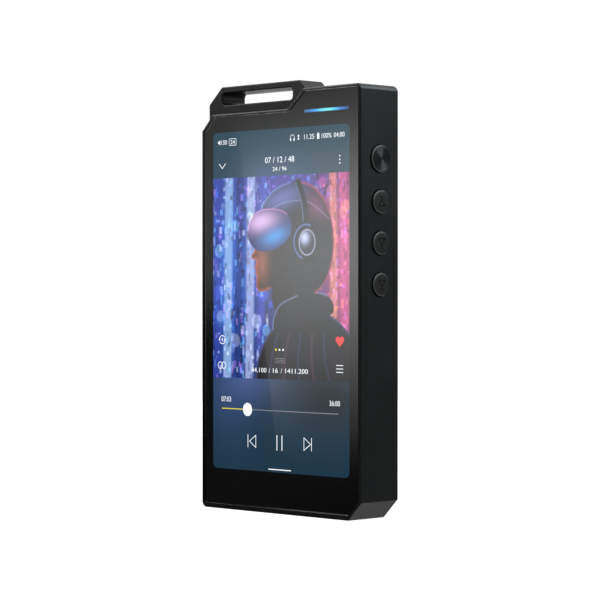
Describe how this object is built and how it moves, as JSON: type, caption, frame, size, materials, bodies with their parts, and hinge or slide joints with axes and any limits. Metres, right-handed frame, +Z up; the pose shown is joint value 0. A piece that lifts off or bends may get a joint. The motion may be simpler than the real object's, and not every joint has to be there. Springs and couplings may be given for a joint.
{
  "type": "digital audio player",
  "caption": "Hand-held digital audio player: slab-shaped black aluminium body with a stepped top, lanyard bar, full-face glass touch screen, round side keys and a sliding card tray.",
  "frame": {"origin": "middle of the flat bottom face: half way across the width, half way through the depth", "axes": "+Z up along the height, screen facing -Y, transport keys on the +X side, volume keys and card tray on the -X side"},
  "size_m": [0.0698, 0.0166, 0.1298],
  "materials": {
    "anodised_body": "bead-blasted, black anodised, satin",
    "anodised_keys": "turned and black anodised, fine concentric grain on the faces",
    "cover_glass": "polished, clear over the screen, black print behind the border",
    "back_glass": "satin-etched, black print behind",
    "screen": "lit picture",
    "backlight_film": "white film stack",
    "light_guide": "clear light guide, lit cyan to blue",
    "adhesive_tape": "black foam tape",
    "flex_circuit": "amber polyimide flex",
    "circuit_board": "solder mask",
    "chip_plastic": "moulded chip package",
    "capacitor_sleeve": "sleeved can",
    "steel_parts": "stamped and turned steel",
    "socket_plastic": "moulded black",
    "battery_pouch": "laminated foil pouch, satin"
  },
  "bodies": {
    "player": {"amplifier_chip_left": "chip_plastic", "amplifier_chip_right": "chip_plastic", "antenna": "flex_circuit", "audio_board": "circuit_board", "audio_board_screw_1": "steel_parts", "audio_board_screw_2": "steel_parts", "audio_board_screw_3": "steel_parts", "audio_capacitor_1": "capacitor_sleeve", "audio_capacitor_2": "capacitor_sleeve", "audio_capacitor_3": "capacitor_sleeve", "audio_capacitor_4": "capacitor_sleeve", "balanced_jack": "socket_plastic", "battery": "battery_pouch", "battery_adhesive": "adhesive_tape", "battery_board": "circuit_board", "board_ribbon_cable": "flex_circuit", "card_socket": "steel_parts", "clock_oscillator_a": "steel_parts", "clock_oscillator_b": "steel_parts", "dac_chip_left": "chip_plastic", "dac_chip_right": "chip_plastic", "display_backlight": "backlight_film", "display_cable": "flex_circuit", "display_panel": "screen", "front_glass": "cover_glass", "front_glass_adhesive": "adhesive_tape", "headphone_jack": "socket_plastic", "left_key_board": "circuit_board", "light_bar_board": "circuit_board", "light_bar_guide": "light_guide", "main_board": "circuit_board", "main_board_screw_1": "steel_parts", "main_board_screw_2": "steel_parts", "main_board_screw_3": "steel_parts", "main_frame": "anodised_body", "memory_chip": "chip_plastic", "next_switch": "steel_parts", "play_pause_switch": "steel_parts", "power_chip": "chip_plastic", "power_switch": "steel_parts", "previous_switch": "steel_parts", "processor_chip": "chip_plastic", "rear_cover": "back_glass", "rear_cover_adhesive": "adhesive_tape", "right_key_board": "circuit_board", "storage_chip": "chip_plastic", "usb_c_shell": "steel_parts", "usb_c_tongue": "socket_plastic", "volume_down_switch": "steel_parts", "volume_up_switch": "steel_parts", "wireless_module": "steel_parts"},
    "power_key": {"power_button": "anodised_keys"},
    "previous_key": {"previous_button": "anodised_keys"},
    "play_pause_key": {"play_pause_button": "anodised_keys"},
    "next_key": {"next_button": "anodised_keys"},
    "volume_up_key": {"volume_up_button": "anodised_keys"},
    "volume_down_key": {"volume_down_button": "anodised_keys"},
    "tray": {"card_tray": "anodised_keys"}
  },
  "joints": [
    {"name": "power_key_press", "type": "slide", "parent": "player", "child": "power_key", "axis": [-1, 0, 0], "range_m": [0, 0.00035], "stiffness_N_per_m": 200, "springref_m": -0.002},
    {"name": "previous_key_press", "type": "slide", "parent": "player", "child": "previous_key", "axis": [-1, 0, 0], "range_m": [0, 0.00035], "stiffness_N_per_m": 200, "springref_m": -0.002},
    {"name": "play_pause_key_press", "type": "slide", "parent": "player", "child": "play_pause_key", "axis": [-1, 0, 0], "range_m": [0, 0.00035], "stiffness_N_per_m": 200, "springref_m": -0.002},
    {"name": "next_key_press", "type": "slide", "parent": "player", "child": "next_key", "axis": [-1, 0, 0], "range_m": [0, 0.00035], "stiffness_N_per_m": 200, "springref_m": -0.002},
    {"name": "volume_up_key_press", "type": "slide", "parent": "player", "child": "volume_up_key", "axis": [1, 0, 0], "range_m": [0, 0.00035], "stiffness_N_per_m": 200, "springref_m": -0.002},
    {"name": "volume_down_key_press", "type": "slide", "parent": "player", "child": "volume_down_key", "axis": [1, 0, 0], "range_m": [0, 0.00035], "stiffness_N_per_m": 200, "springref_m": -0.002},
    {"name": "card_tray_slide", "type": "slide", "parent": "player", "child": "tray", "axis": [-1, 0, 0], "range_m": [0, 0.017]}
  ]
}
